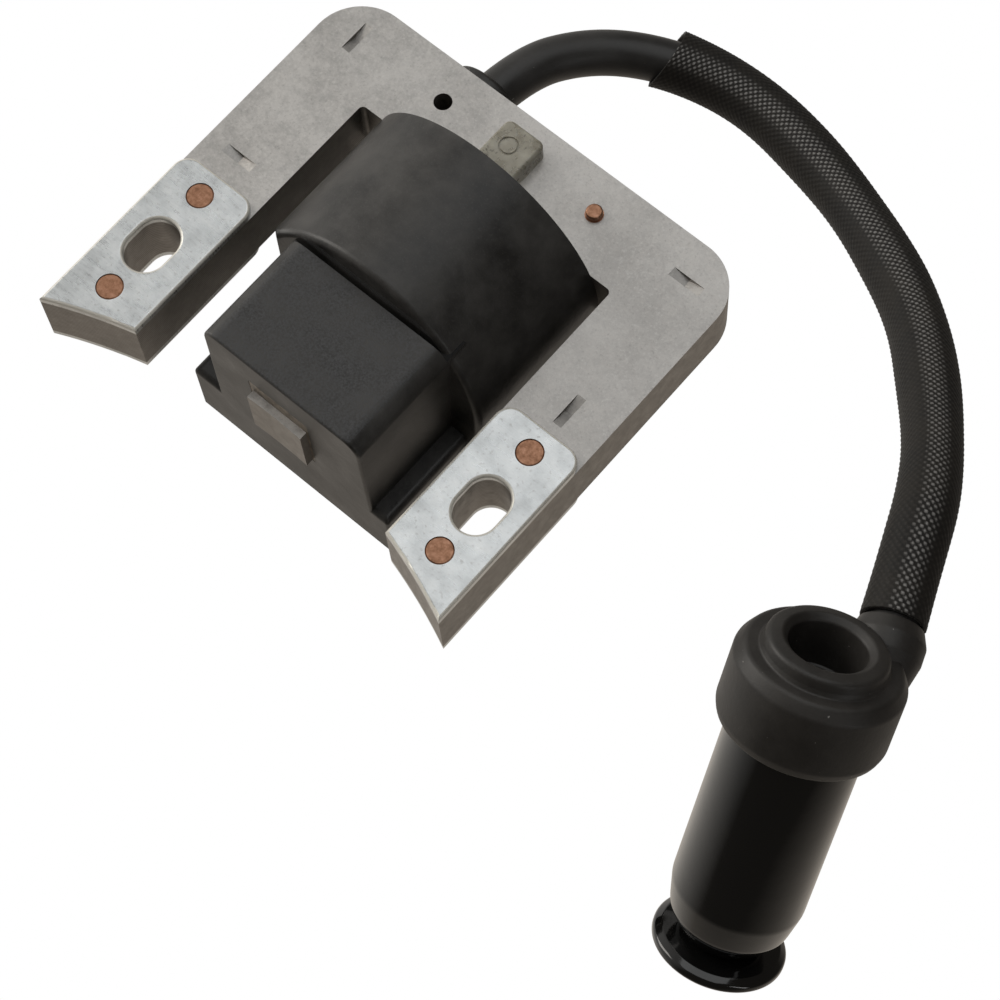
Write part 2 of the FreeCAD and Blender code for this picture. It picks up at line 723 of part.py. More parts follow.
def build():
    os.makedirs("parts", exist_ok=True)
    export(lamination_stack(), "lamination_stack")
    for side, hand in ((-1, "left"), (1, "right")):
        export(pole_plate(side, True), hand + "_top_plate")
        export(pole_plate(side, False), hand + "_bottom_plate")
    export(pole_rivets(), "pole_rivets")
    export(back_bar_rivet(), "back_bar_rivet")
    export(coil_case(), "coil_case")
    export(pole_seal(), "pole_seal")
    export(locking_tab(), "locking_tab")

    hub = pole_width / 2 + leg_gap
    coil_start = hub + tube_wall
    charge_ends = (charge_start, charge_end - flange)
    primary_ends = (secondary_start, secondary_end - flange)
    turns_front = secondary_start + flange
    turns_back = secondary_end - flange
    inner_pieces = {
        "charge_bobbin": spool(hub, tube_wall, charge_rim, 2.0, charge_ends),
        "charge_coil": rounded_tube(charge_out, coil_start, 2.0, charge_start + flange, charge_end - flange),
        "primary_bobbin": spool(hub, tube_wall, primary_rim, 1.5, primary_ends),
        "primary_winding": rounded_tube(primary_out, coil_start, 1.5, turns_front, turns_back),
        "secondary_bobbin": spool(secondary_hub, secondary_wall, secondary_rim, 7.0, secondary_stations()),
        "secondary_winding": secondary_winding(),
        "circuit_board": circuit_board(),
        "storage_capacitor": storage_capacitor(),
        "thyristor": thyristor(),
        "rectifier_diodes": axial_parts(1.2, 4.6, diode_xs, diode_y),
        "board_resistors": axial_parts(0.9, 5.6, resistor_xs, resistor_y),
        "trigger_coil": trigger_coil(),
        "trigger_core": trigger_core(),
        "ground_strap": ground_strap(),
        "stop_terminal": stop_terminal_shape(),
        "tower_pin": tower_pin(),
    }
    for node, shape in inner_pieces.items():
        export(shape, node)
    half = pole_width / 2
    leg = block(-half, half, -30, 30, core_bottom, core_top)
    roomy = case_inside().common(block(-40, 40, -40, 40, potting_level, 60))
    filled = roomy.cut([leg] + list(inner_pieces.values()))
    export(max(filled.Solids, key=lambda s: s.Volume), "potting_fill")

    whole = lead_wire()
    export(hollow_tube(whole, lead_radius, conductor_radius, "lead"), "ht_lead")
    export(tube_along(whole, conductor_radius), "lead_conductor")
    export(hollow_tube(sleeve_wire(), sleeve_outer, sleeve_inner, "sleeve"), "braided_sleeve")
    export(lead_grommet(), "lead_grommet")
    export(lead_end_pin(), "lead_end_pin")
    export(handle_knob(), "handle_knob")
    export(pull_handle(), "pull_handle")
    export(boot_collar(), "boot_collar")
    export(boot_terminal(), "boot_terminal")
    export(plug_clip(), "plug_clip")
    export(clip_seat(), "clip_seat")


build()
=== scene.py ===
import json
import math
import bpy
import numpy as np
from mathutils import Matrix, Vector


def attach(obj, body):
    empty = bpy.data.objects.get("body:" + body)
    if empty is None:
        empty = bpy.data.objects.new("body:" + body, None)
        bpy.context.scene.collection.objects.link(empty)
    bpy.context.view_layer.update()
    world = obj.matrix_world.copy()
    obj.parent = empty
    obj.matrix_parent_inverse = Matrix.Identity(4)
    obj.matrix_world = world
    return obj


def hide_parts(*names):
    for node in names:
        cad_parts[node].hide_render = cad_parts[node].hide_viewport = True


# A small engine's ignition coil: laminated core, moulded case, braided lead and plug boot.
# Everything is in metres; mm turns a length in millimetres into metres.

mm = 0.001
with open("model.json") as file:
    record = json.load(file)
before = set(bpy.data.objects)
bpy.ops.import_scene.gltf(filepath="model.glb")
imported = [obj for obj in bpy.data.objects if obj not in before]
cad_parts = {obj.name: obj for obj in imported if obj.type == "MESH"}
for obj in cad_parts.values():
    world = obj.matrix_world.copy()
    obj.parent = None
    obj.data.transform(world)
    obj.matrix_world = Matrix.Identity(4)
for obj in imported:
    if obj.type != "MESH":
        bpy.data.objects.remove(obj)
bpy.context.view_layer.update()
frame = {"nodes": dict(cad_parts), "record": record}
nodes = frame["nodes"]
print("frame loaded,", len(nodes), "nodes")


# a grid of points (rows, columns, xyz) becomes quads; columns close on themselves, and rows may too
def gridMesh(name, points, closeRows=False):
    rows, columns = points.shape[:2]
    index = np.arange(rows * columns).reshape(rows, columns)
    if closeRows:
        index = np.vstack([index, index[:1]])
    index = np.hstack([index, index[:, :1]])
    quads = np.stack([index[:-1, :-1], index[:-1, 1:], index[1:, 1:], index[1:, :-1]], axis=-1).reshape(-1, 4)
    mesh = bpy.data.meshes.new(name)
    mesh.vertices.add(rows * columns)
    mesh.vertices.foreach_set("co", np.ascontiguousarray(points, dtype=np.float32).ravel())
    mesh.loops.add(quads.size)
    mesh.loops.foreach_set("vertex_index", quads.ravel().astype(np.int32))
    mesh.polygons.add(len(quads))
    mesh.polygons.foreach_set("loop_start", np.arange(0, quads.size, 4, dtype=np.int32))
    mesh.update(calc_edges=True)
    mesh.validate()
    mesh.polygons.foreach_set("use_smooth", np.ones(len(mesh.polygons), dtype=bool))
    piece = bpy.data.objects.new(name, mesh)
    bpy.context.scene.collection.objects.link(piece)
    return piece


# corners (x, z, radius) become a smooth outline: each inner corner is an arc tangent to its two sides,
# whose ends lie radius / tan(half the corner's angle) from the corner
def roundOutline(corners, steps=7):
    points = np.array([c[:2] for c in corners], float)
    count = len(points)
    out = []
    for i in range(count):
        if i in (0, count - 1):
            out.append(points[i:i + 1])
            continue
        here = points[i]
        back = points[i - 1] - here
        ahead = points[i + 1] - here
        backLength, aheadLength = np.linalg.norm(back), np.linalg.norm(ahead)
        back, ahead = back / backLength, ahead / aheadLength
        half = math.acos(float(np.clip(back @ ahead, -1, 1))) / 2
        reach = min(corners[i][2] / max(math.tan(half), 1e-6), 0.49 * min(backLength, aheadLength))
        radius = reach * math.tan(half)
        if radius < 1e-9 or half > 1.56:
            out.append(points[i:i + 1])
            continue
        middle = here + (back + ahead) / np.linalg.norm(back + ahead) * radius / math.sin(half)
        first = here + back * reach - middle
        last = here + ahead * reach - middle
        sweep = math.atan2(first[0] * last[1] - first[1] * last[0], float(first @ last))
        angle = sweep * np.linspace(0, 1, steps)[:, None]
        turned = np.hstack([first[0] * np.cos(angle) - first[1] * np.sin(angle),
                            first[0] * np.sin(angle) + first[1] * np.cos(angle)])
        out.append(middle + turned)
    return np.vstack(out)


# an outline (radius, height) turned about an axis: point = centre + height along it + radius around it
def turnedPiece(name, outline, centre, axis, columns=96):
    axis = Vector(axis).normalized()
    side = axis.orthogonal().normalized()
    other = axis.cross(side)
    angle = np.linspace(0, 2 * math.pi, columns, endpoint=False)
    ring = np.cos(angle)[:, None] * np.array(side) + np.sin(angle)[:, None] * np.array(other)
    radius, height = outline[:, 0], outline[:, 1]
    points = np.array(centre) + height[:, None, None] * np.array(axis) + radius[:, None, None] * ring[None]
    return gridMesh(name, points)


# unit direction of a path at each point, from its neighbours
def pathDirections(path):
    along = np.gradient(path, axis=0)
    return along / np.linalg.norm(along, axis=1)[:, None]


# two directions square to the path, turned as little as possible from point to point
def pathFrames(path):
    along = pathDirections(path)
    side = np.zeros_like(path)
    first = np.cross(along[0], [0, 0, 1.0])
    side[0] = first / np.linalg.norm(first)
    for i in range(1, len(path)):
        carried = side[i - 1] - along[i] * (side[i - 1] @ along[i])
        side[i] = carried / np.linalg.norm(carried)
    return along, side, np.cross(side, along)


# a material with its shader and a few functions that add and join nodes
class Finish:
    def __init__(self, name, color, roughness, metallic=0.0):
        self.material = bpy.data.materials.new(name)
        self.material.use_nodes = True
        self.tree = self.material.node_tree
        self.shader = self.tree.nodes["Principled BSDF"]
        self.shader.inputs["Base Color"].default_value = (*color, 1)
        self.shader.inputs["Roughness"].default_value = roughness
        self.shader.inputs["Metallic"].default_value = metallic
        self.coordinates = self.tree.nodes.new("ShaderNodeTexCoord")

    def add(self, kind, **values):
        node = self.tree.nodes.new(kind)
        for key, value in values.items():
            if hasattr(node, key):
                setattr(node, key, value)
            else:
                node.inputs[key.replace("_", " ")].default_value = value
        return node

    def join(self, output, target):
        self.tree.links.new(output, target)

    def noise(self, scale, detail=4.0, rough=0.55, stretch=None):
        place = self.coordinates.outputs["Object"]
        if stretch:
            mapping = self.add("ShaderNodeMapping")
            mapping.inputs["Scale"].default_value = stretch
            self.join(place, mapping.inputs["Vector"])
            place = mapping.outputs["Vector"]
        node = self.add("ShaderNodeTexNoise", Scale=scale, Detail=detail, Roughness=rough)
        self.join(place, node.inputs["Vector"])
        return node.outputs["Fac"]

    def ramp(self, value, stops):
        node = self.tree.nodes.new("ShaderNodeValToRGB")
        ramp = node.color_ramp
        while len(ramp.elements) < len(stops):
            ramp.elements.new(0.5)
        for element, (place, color) in zip(ramp.elements, stops):
            element.position = place
            element.color = (*color, 1)
        self.join(value, node.inputs["Fac"])
        return node.outputs["Color"]

    def math(self, operation, first, second=None):
        node = self.add("ShaderNodeMath", operation=operation)
        for socket, value in zip(node.inputs, (first, second)):
            if value is None:
                continue
            if isinstance(value, (int, float)):
                socket.default_value = value
            else:
                self.join(value, socket)
        return node.outputs[0]

    def span(self, value, low, high, toLow=0.0, toHigh=1.0):
        node = self.add("ShaderNodeMapRange")
        for socket, number in zip(list(node.inputs)[1:5], (low, high, toLow, toHigh)):
            socket.default_value = number
        self.join(value, node.inputs[0])
        return node.outputs[0]

    def mix(self, factor, first, second):
        node = self.add("ShaderNodeMix", data_type="RGBA")
        for socket, value in ((node.inputs[0], factor), (node.inputs[6], first), (node.inputs[7], second)):
            if isinstance(value, tuple):
                socket.default_value = (*value, 1)
            elif isinstance(value, (int, float)):
                socket.default_value = value
            else:
                self.join(value, socket)
        return node.outputs[2]

    def place(self):
        split = self.add("ShaderNodeSeparateXYZ")
        self.join(self.coordinates.outputs["Object"], split.inputs[0])
        return split.outputs

    def facing(self):
        geometry = self.add("ShaderNodeNewGeometry")
        split = self.add("ShaderNodeSeparateXYZ")
        self.join(geometry.outputs["Normal"], split.inputs[0])
        return split.outputs

    def bump(self, height, depth, after=None):
        node = self.add("ShaderNodeBump", Strength=1.0, Distance=depth)
        self.join(height, node.inputs["Height"])
        if after is not None:
            self.join(after, node.inputs["Normal"])
        return node.outputs["Normal"]

    def wear(self, **sockets):
        for key, value in sockets.items():
            self.join(value, self.shader.inputs[key.replace("_", " ")])
        return self.material


# mottled rolled steel; the cut edges of the sheets show as fine lines and a browner tone
def coreSteel():
    look = {"sheet": 0.5 * mm, "light": (0.585, 0.567, 0.545), "dark": (0.42, 0.405, 0.388),
            "glint": (0.70, 0.685, 0.66), "pit": (0.26, 0.25, 0.24), "edge": (0.30, 0.28, 0.26),
            "gap": (0.09, 0.08, 0.075), "edgeSpots": (0.36, 0.335, 0.31)}
    f = Finish("core_steel", look["light"], 0.42, 0.85)
    clouds = f.noise(620.0, 8.0, 0.72)
    specks = f.noise(2600.0, 3.0, 0.7)
    patches = f.noise(70.0, 4.0, 0.6)
    tone = f.math("ADD", f.math("MULTIPLY", clouds, 0.6), f.math("MULTIPLY", patches, 0.4))
    top = f.ramp(tone, [(0.40, look["dark"]), (0.57, look["light"])])
    top = f.mix(f.span(specks, 0.54, 0.70, 0.0, 0.45), top, look["glint"])
    top = f.mix(f.span(specks, 0.42, 0.30, 0.0, 0.45), top, look["pit"])
    upness = f.math("ABSOLUTE", f.facing()["Z"])
    side = f.math("LESS_THAN", upness, 0.5)
    sheets = f.math("SINE", f.math("MULTIPLY", f.place()["Z"], 2 * math.pi / look["sheet"]))
    gap = f.span(sheets, -1.0, -0.55, 1.0, 0.0)
    edge = f.mix(f.math("MULTIPLY", gap, 0.5), look["edge"], look["gap"])
    edge = f.mix(f.span(f.noise(900.0, 5.0, 0.7), 0.45, 0.7, 0.0, 0.5), edge, look["edgeSpots"])
    color = f.mix(side, top, edge)
    rough = f.span(clouds, 0.3, 0.7, 0.36, 0.56)
    height = f.math("MULTIPLY", f.math("MULTIPLY", sheets, side), 0.6)
    normal = f.bump(height, 0.02 * mm)
    normal = f.bump(specks, 0.012 * mm, normal)
    return f.wear(Base_Color=color, Roughness=rough, Normal=normal)


# bright zinc with soft mottling and fine handling scratches; the rims carry a painted highlight, pale and
# less metallic
def zincPlate():
    look = {"dark": (0.47, 0.485, 0.49), "middle": (0.65, 0.67, 0.675), "light": (0.77, 0.785, 0.785),
            "specks": (0.36, 0.35, 0.34), "rim": (0.93, 0.90, 0.82)}
    f = Finish("zinc_plate", (0.72, 0.72, 0.71), 0.28, 0.95)
    clouds = f.noise(240.0, 7.0, 0.62)
    grain = f.noise(1500.0, 4.0, 0.6)
    scratches = f.noise(260.0, 6.0, 0.75, stretch=(1.0, 9.0, 1.0))
    tone = f.math("ADD", f.math("MULTIPLY", clouds, 0.65), f.math("MULTIPLY", scratches, 0.35))
    color = f.ramp(tone, [(0.34, look["dark"]), (0.50, look["middle"]), (0.64, look["light"])])
    color = f.mix(f.span(grain, 0.58, 0.70, 0.0, 0.5), color, look["specks"])
    upness = f.facing()["Z"]
    # painted highlight: the sloping rim faces, picked by how they face, are painted pale
    rim = f.math("MULTIPLY", f.span(upness, 0.12, 0.35), f.span(upness, 0.985, 0.94))
    color = f.mix(rim, color, look["rim"])
    metal = f.span(rim, 0.0, 1.0, 0.95, 0.15)
    rough = f.span(scratches, 0.3, 0.7, 0.22, 0.42)
    normal = f.bump(grain, 0.010 * mm, f.bump(clouds, 0.05 * mm))
    return f.wear(Base_Color=color, Roughness=rough, Metallic=metal, Normal=normal)


def copper():
    look = {"dark": (0.24, 0.12, 0.07), "middle": (0.385, 0.20, 0.122), "light": (0.50, 0.275, 0.185)}
    f = Finish("copper", (0.55, 0.27, 0.17), 0.4, 0.9)
    clouds = f.noise(1300.0, 6.0, 0.65)
    color = f.ramp(clouds, [(0.32, look["dark"]), (0.52, look["middle"]), (0.70, look["light"])])
    rough = f.span(clouds, 0.3, 0.7, 0.5, 0.32)
    return f.wear(Base_Color=color, Roughness=rough, Normal=f.bump(clouds, 0.03 * mm))


# black moulded case: satin sides with faint sink marks, a fine matt texture on the box's top;
# painted shade, near black and rougher, in the dome's groove beside the box, which also darkens a patch of
# the dome's rear face
def casePlastic():
    look = {"dark": (0.016, 0.015, 0.014), "light": (0.064, 0.061, 0.057), "specks": (0.085, 0.082, 0.078),
            "boxTop": (0.060, 0.061, 0.064), "grooveShade": (0.004, 0.004, 0.004),
            "boxTopZ": 32.3 * mm, "boxTopY": -5.0 * mm, "grooveX": 10.0 * mm, "grooveY": -7.0 * mm,
            "grooveZ": 28.4 * mm}
    f = Finish("case_plastic", (0.018, 0.018, 0.019), 0.36)
    x, y, z = f.place()
    fine = f.noise(3400.0, 3.0, 0.6)
    clouds = f.noise(150.0, 6.0, 0.6)
    boxTop = f.math("MULTIPLY", f.math("GREATER_THAN", z, look["boxTopZ"]),
                    f.math("LESS_THAN", y, look["boxTopY"]))
    color = f.ramp(clouds, [(0.34, look["dark"]), (0.66, look["light"])])
    color = f.mix(f.span(fine, 0.56, 0.72, 0.0, 0.35), color, look["specks"])
    texture = f.math("MULTIPLY", boxTop, f.span(fine, 0.36, 0.62, 0.15, 0.95))
    color = f.mix(texture, color, look["boxTop"])
    # painted shade: faces not turned to +X in the groove beside the box are painted near black and made
    # rougher
    inward = f.math("MULTIPLY", f.math("LESS_THAN", f.facing()["X"], 0.12),
                    f.math("GREATER_THAN", x, look["grooveX"]))
    inward = f.math("MULTIPLY", inward, f.math("GREATER_THAN", y, look["grooveY"]))
    inward = f.math("MULTIPLY", inward, f.math("LESS_THAN", z, look["boxTopZ"]))
    groove = f.math("MULTIPLY", inward, f.math("GREATER_THAN", z, look["grooveZ"]))
    color = f.mix(groove, color, look["grooveShade"])
    rough = f.math("ADD", f.span(clouds, 0.3, 0.7, 0.36, 0.50), f.math("MULTIPLY", boxTop, 0.14))
    rough = f.math("ADD", rough, f.math("MULTIPLY", groove, 0.4))
    depth = f.math("ADD", f.math("MULTIPLY", boxTop, 0.9), 0.16)
    normal = f.bump(f.math("MULTIPLY", fine, depth), 0.05 * mm, f.bump(clouds, 0.16 * mm))
    return f.wear(Base_Color=color, Roughness=rough, Normal=normal)


def pottingResin():
    f = Finish("potting", (0.012, 0.012, 0.012), 0.25)
    waves = f.noise(190.0, 3.0, 0.5)
    return f.wear(Roughness=f.span(waves, 0.3, 0.7, 0.18, 0.4), Normal=f.bump(waves, 0.3 * mm))


def brownEpoxy():
    look = {"dark": (0.10, 0.08, 0.06), "light": (0.36, 0.30, 0.23)}
    f = Finish("epoxy", (0.30, 0.24, 0.18), 0.45)
    clouds = f.noise(800.0, 5.0, 0.6)
    color = f.ramp(clouds, [(0.35, look["dark"]), (0.65, look["light"])])
    return f.wear(Base_Color=color, Normal=f.bump(clouds, 0.1 * mm))


# milky unfilled nylon that lets some light through, with a few brown spots
def naturalNylon():
    look = {"dark": (0.50, 0.46, 0.36), "light": (0.86, 0.83, 0.71), "spots": (0.13, 0.10, 0.07)}
    f = Finish("natural_nylon", (0.62, 0.60, 0.52), 0.3)
    f.shader.inputs["Transmission Weight"].default_value = 0.45
    f.shader.inputs["Subsurface Weight"].default_value = 0.25
    f.shader.inputs["Subsurface Radius"].default_value = (1.6 * mm, 1.5 * mm, 1.2 * mm)
    f.shader.inputs["IOR"].default_value = 1.45
    clouds = f.noise(500.0, 4.0, 0.6)
    color = f.ramp(clouds, [(0.30, look["dark"]), (0.70, look["light"])])
    color = f.mix(f.span(f.noise(760.0, 5.0, 0.7), 0.56, 0.66, 0.0, 0.8), color, look["spots"])
    rough = f.span(clouds, 0.3, 0.7, 0.2, 0.42)
    return f.wear(Base_Color=color, Roughness=rough, Normal=f.bump(clouds, 0.05 * mm))


# matt rubber in soft patches, with a few pale specks of dust
def rubber(name, color, roughness, grain=2200.0, depth=0.02):
    look = {"lighter": 1.9, "lift": 0.004, "dust": (0.30, 0.29, 0.27)}
    f = Finish(name, color, roughness)
    fine = f.noise(grain, 4.0, 0.6)
    clouds = f.noise(120.0, 5.0, 0.6)
    light = tuple(min(1.0, c * look["lighter"] + look["lift"]) for c in color)
    tone = f.mix(f.span(clouds, 0.35, 0.7), color, light)
    tone = f.mix(f.span(f.noise(1400.0, 2.0, 0.5), 0.755, 0.79), tone, look["dust"])
    rough = f.span(clouds, 0.3, 0.7, roughness - 0.07, roughness + 0.07)
    return f.wear(Base_Color=tone, Roughness=rough, Normal=f.bump(fine, depth * mm))


# polished black plastic with a faint orange-peel and a little dust
def glossHandle():
    look = {"black": (0.005, 0.005, 0.005), "dust": (0.04, 0.038, 0.034)}
    f = Finish("handle_plastic", (0.006, 0.006, 0.006), 0.1)
    f.shader.inputs["Coat Weight"].default_value = 0.5
    f.shader.inputs["Coat Roughness"].default_value = 0.04
    peel = f.noise(260.0, 3.0, 0.5)
    dust = f.noise(1700.0, 4.0, 0.7)
    color = f.mix(f.span(dust, 0.68, 0.82, 0.0, 0.3), look["black"], look["dust"])
    rough = f.span(f.noise(90.0, 5.0, 0.65), 0.35, 0.7, 0.07, 0.2)
    return f.wear(Base_Color=color, Roughness=rough, Normal=f.bump(peel, 0.04 * mm))


# black yarn; the crossings' crowns are painted lighter and the gaps darker, as painted highlight and shade;
# on the sleeve's upper side the crowns carry a pale painted sheen strip and are shinier
def sleeveBraid():
    look = {"gap": (0.008, 0.007, 0.006), "yarn": (0.016, 0.014, 0.012), "crown": (0.030, 0.027, 0.023),
            "patches": (0.024, 0.020, 0.015), "paintedSheen": (0.30, 0.29, 0.28)}
    f = Finish("sleeve_braid", (0.02, 0.02, 0.021), 0.5)
    f.shader.inputs["Sheen Weight"].default_value = 0.06
    f.shader.inputs["Sheen Roughness"].default_value = 0.4
    # the "wear" attribute holds the painted sheen strip
    crown = f.add("ShaderNodeAttribute", attribute_name="crown").outputs["Fac"]
    paintedSheen = f.add("ShaderNodeAttribute", attribute_name="wear").outputs["Fac"]
    clouds = f.noise(160.0, 4.0, 0.6)
    fibre = f.noise(5200.0, 3.0, 0.7)
    # painted highlight and shade: the crossings' crowns are painted lighter and the gaps between them darker
    color = f.ramp(crown, [(0.30, look["gap"]), (0.75, look["yarn"]), (0.97, look["crown"])])
    color = f.mix(f.span(clouds, 0.40, 0.68, 0.0, 0.5), color, look["patches"])
    # painted sheen: a pale strip along the crowns on the sleeve's upper side
    color = f.mix(paintedSheen, color, look["paintedSheen"])
    rough = f.math("ADD", f.span(paintedSheen, 0.0, 1.0, 0.30, 0.0), f.span(fibre, 0.3, 0.7, 0.26, 0.42))
    shine = f.span(paintedSheen, 0.0, 1.0, 0.30, 0.9)
    normal = f.bump(fibre, 0.02 * mm)
    return f.wear(Base_Color=color, Roughness=rough, Specular_IOR_Level=shine, Normal=normal)


def plainMetal(name, color, roughness):
    f = Finish(name, color, roughness, 0.95)
    clouds = f.noise(700.0, 5.0, 0.6)
    rough = f.span(clouds, 0.3, 0.7, roughness - 0.08, roughness + 0.1)
    return f.wear(Roughness=rough, Normal=f.bump(clouds, 0.01 * mm))


def innerPlastic(name, color, roughness=0.5):
    f = Finish(name, color, roughness)
    clouds = f.noise(600.0, 4.0, 0.6)
    dark = tuple(c * 0.6 for c in color)
    return f.wear(Base_Color=f.mix(clouds, dark, color), Normal=f.bump(clouds, 0.02 * mm))


# fine turns of wire, as ridges along Y, with painted shade between the turns and painted highlight on their
# crests
def enamelledWire():
    look = {"turn": 0.25 * mm, "dark": (0.16, 0.05, 0.02), "light": (0.50, 0.20, 0.08)}
    f = Finish("enamelled_wire", (0.40, 0.14, 0.05), 0.3, 0.6)
    turns = f.math("SINE", f.math("MULTIPLY", f.place()["Y"], 2 * math.pi / look["turn"]))
    color = f.mix(f.span(turns, -1.0, 1.0), look["dark"], look["light"])
    return f.wear(Base_Color=color, Normal=f.bump(turns, 0.04 * mm))


finishes = {
    "core_steel": coreSteel(),
    "zinc_plate": zincPlate(),
    "copper": copper(),
    "case_plastic": casePlastic(),
    "potting": pottingResin(),
    "epoxy": brownEpoxy(),
    "natural_nylon": naturalNylon(),
    "bobbin_nylon": innerPlastic("bobbin_nylon", (0.20, 0.20, 0.20)),
    "enamelled_wire": enamelledWire(),
    "board_laminate": innerPlastic("board_laminate", (0.05, 0.16, 0.07), 0.35),
    "component_plastic": innerPlastic("component_plastic", (0.05, 0.05, 0.06), 0.4),
    "tinned_metal": plainMetal("tinned_metal", (0.62, 0.61, 0.58), 0.3),
    "lead_rubber": rubber("lead_rubber", (0.020, 0.019, 0.018), 0.42),
    "sleeve_braid": sleeveBraid(),
    "handle_plastic": glossHandle(),
    "boot_rubber": rubber("boot_rubber", (0.020, 0.018, 0.016), 0.50, 1500.0, 0.03),
}


def wearFinish(piece, slotName):
    piece.data.materials.clear()
    piece.data.materials.append(finishes[slotName])
    return piece


def finishCadNodes():
    for part in frame["record"]["subparts"]:
        wearFinish(nodes[part["node"]], part["material_slot"])
    print("CAD nodes finished")


def own(piece, body, slotName, *replaced):
    wearFinish(piece, slotName)
    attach(piece, body)
    if replaced:
        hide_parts(*replaced)
    return piece


def placeCamera():
    view = {"place": (136.93, -113.82, 381.52), "ahead": (-0.2715, 0.2570, -0.9275),
            "right": (0.7563, 0.6530, -0.0404), "lens": 101.98}
    ahead = Vector(view["ahead"]).normalized()
    right = Vector(view["right"]).normalized()
    up = right.cross(ahead)
    lens = bpy.data.cameras.new("camera")
    lens.lens = view["lens"]
    lens.sensor_width = 36
    lens.clip_start = 0.01
    camera = bpy.data.objects.new("camera", lens)
    turn = Matrix((right, up, -ahead)).transposed().to_4x4()
    camera.matrix_world = Matrix.Translation(Vector(view["place"]) * mm) @ turn
    bpy.context.scene.collection.objects.link(camera)
    bpy.context.scene.camera = camera
    print("camera placed")


def addLight(name, place, target, size, power, tint):
    lamp = bpy.data.lights.new(name, "AREA")
    lamp.shape = "RECTANGLE"
    lamp.size, lamp.size_y = size
    lamp.energy = power
    lamp.color = tint
    light = bpy.data.objects.new(name, lamp)
    light.location = place
    light.rotation_euler = (Vector(target) - Vector(place)).to_track_quat("-Z", "Y").to_euler()
    bpy.context.scene.collection.objects.link(light)


# light from all round: bright from the left, a warm floor's light from below, dark elsewhere
def placeWorld():
    look = {"left": 0.62, "below": 0.50, "rest": 0.07}
    world = bpy.data.worlds.new("studio")
    world.use_nodes = True
    tree = world.node_tree
    place = tree.nodes.new("ShaderNodeTexCoord")
    split = tree.nodes.new("ShaderNodeSeparateXYZ")
    tree.links.new(place.outputs["Generated"], split.inputs[0])

    def span(axis, values):
        node = tree.nodes.new("ShaderNodeMapRange")
        for socket, number in zip(list(node.inputs)[1:5], values):
            socket.default_value = number
        tree.links.new(split.outputs[axis], node.inputs[0])
        return node.outputs[0]

    tints = []
    for level, tint in ((span("X", (-0.25, -0.95, 0.0, look["left"])), (1.0, 0.99, 0.96)),
                        (span("Z", (-0.15, -0.85, look["rest"], look["below"])), (1.0, 0.90, 0.78))):
        scaled = tree.nodes.new("ShaderNodeVectorMath")
        scaled.operation = "SCALE"
        scaled.inputs[0].default_value = tint
        tree.links.new(level, scaled.inputs["Scale"])
        tints.append(scaled.outputs[0])
    total = tree.nodes.new("ShaderNodeVectorMath")
    total.operation = "ADD"
    tree.links.new(tints[0], total.inputs[0])
    tree.links.new(tints[1], total.inputs[1])
    tree.links.new(total.outputs[0], tree.nodes["Background"].inputs["Color"])
    bpy.context.scene.world = world


studio = {
    "target": (0.02, 0.0, 0.02),
    # name, place, size, power, tint
    "lights": [
        ("overhead", (-0.04, 0.30, 0.95), (0.88, 1.0), 2.6, (0.97, 0.99, 1.0)),
        ("leftKey", (-0.9, -0.15, 0.5), (0.5, 0.7), 4.0, (1.0, 0.96, 0.90)),
        ("rightStrip", (0.8, -0.1, 0.35), (0.10, 0.6), 0.5, (1.0, 1.0, 1.0)),
    ],
    "floorSize": 8,
    "floorDrop": 0.0002,
}


# three soft lights and a white floor that only the camera sees
def placeStudio():
    placeWorld()
    bpy.context.scene.view_settings.view_transform = "Standard"
    for name, place, size, power, tint in studio["lights"]:
        addLight(name, place, studio["target"], size, power, tint)
    bpy.ops.mesh.primitive_plane_add(size=studio["floorSize"], location=(0, 0, -studio["floorDrop"]))
    floor = bpy.context.object
    floor.name = "floor"
    floor.visible_diffuse = False
    floor.visible_glossy = False
    floor.visible_transmission = False
    paint = Finish("floor_paint", (0, 0, 0), 0.9)
    paint.shader.inputs["Specular IOR Level"].default_value = 0
    paint.shader.inputs["Emission Color"].default_value = (1, 1, 1, 1)
    paint.shader.inputs["Emission Strength"].default_value = 1.0
    floor.data.materials.append(paint.material)
    print("studio placed")


lead = {
    "radius": 3.5,
    "step": 0.4,          # between the points read off the curve
    "exit": (-16.1, 38.5, 9.2),
    "route": [(-16.1, 30.0, 9.2), (-16.1, 43.5, 9.2), (-10.2, 54.9, 7.0), (0.2, 62.2, 5.0),
              (13.8, 64.7, 4.7), (29.1, 61.4, 6.5), (42.8, 55.3, 11.0), (57.3, 46.1, 17.6),
              (69.0, 33.0, 26.1), (77.4, 20.8, 34.4), (82.667, 8.648, 38.47), (88.472, -5.182, 38.47)],
}


def leadCurve():
    curve = bpy.data.curves.new("lead_curve", "CURVE")
    curve.dimensions = "3D"
    spline = curve.splines.new("NURBS")
    spline.points.add(len(lead["route"]) - 1)
    for point, (x, y, z) in zip(spline.points, lead["route"]):
        point.co = (x * mm, y * mm, z * mm, 1)
    spline.order_u = 3
    spline.use_endpoint_u = True
    curve.resolution_u = 24
    return bpy.data.objects.new("lead_line", curve)


# the spline's own points, spaced evenly along its length
def readPath(curveObject, step):
    bpy.context.scene.collection.objects.link(curveObject)
    bpy.context.view_layer.update()
    mesh = bpy.data.meshes.new_from_object(curveObject)
    raw = np.zeros(len(mesh.vertices) * 3)
    mesh.vertices.foreach_get("co", raw)
    raw = raw.reshape(-1, 3)
    bpy.data.objects.remove(curveObject)
    gone = np.concatenate([[0], np.cumsum(np.linalg.norm(np.diff(raw, axis=0), axis=1))])
    wanted = np.linspace(0, gone[-1], max(8, int(gone[-1] / step)) + 1)
    return np.stack([np.interp(wanted, gone, raw[:, k]) for k in range(3)], axis=1), gone[-1]


